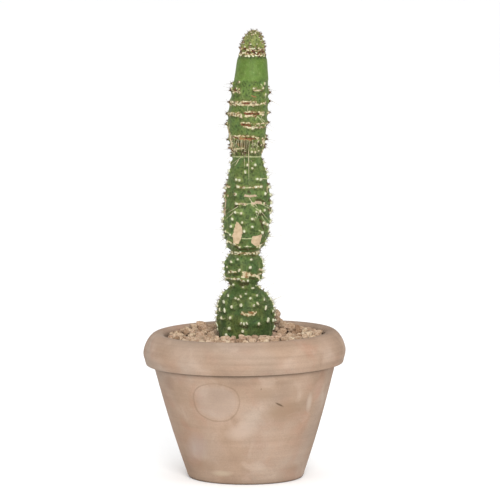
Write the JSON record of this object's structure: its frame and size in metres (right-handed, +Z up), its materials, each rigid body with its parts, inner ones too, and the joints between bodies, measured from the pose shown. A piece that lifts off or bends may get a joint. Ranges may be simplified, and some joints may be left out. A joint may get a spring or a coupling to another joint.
{
  "type": "potted cactus",
  "caption": "Pinched, knobbly green columnar cactus with short spines, set in a terracotta pot with a rolled collar and a top layer of pumice pebbles.",
  "frame": {"origin": "on the surface that the pot stands on, under the middle of the pot's rim", "axes": "+Z up; -Y towards the side that the picture shows; +X to the right in the picture"},
  "size_m": [0.1402, 0.1402, 0.3128],
  "materials": {
    "terracotta": "matte",
    "potting_mix": "matte",
    "pumice": "matte",
    "cactus_skin": "satin"
  },
  "bodies": {
    "root": {"pot": "terracotta", "soil": "potting_mix", "gravel": "pumice", "stem": "cactus_skin"}
  },
  "joints": []
}
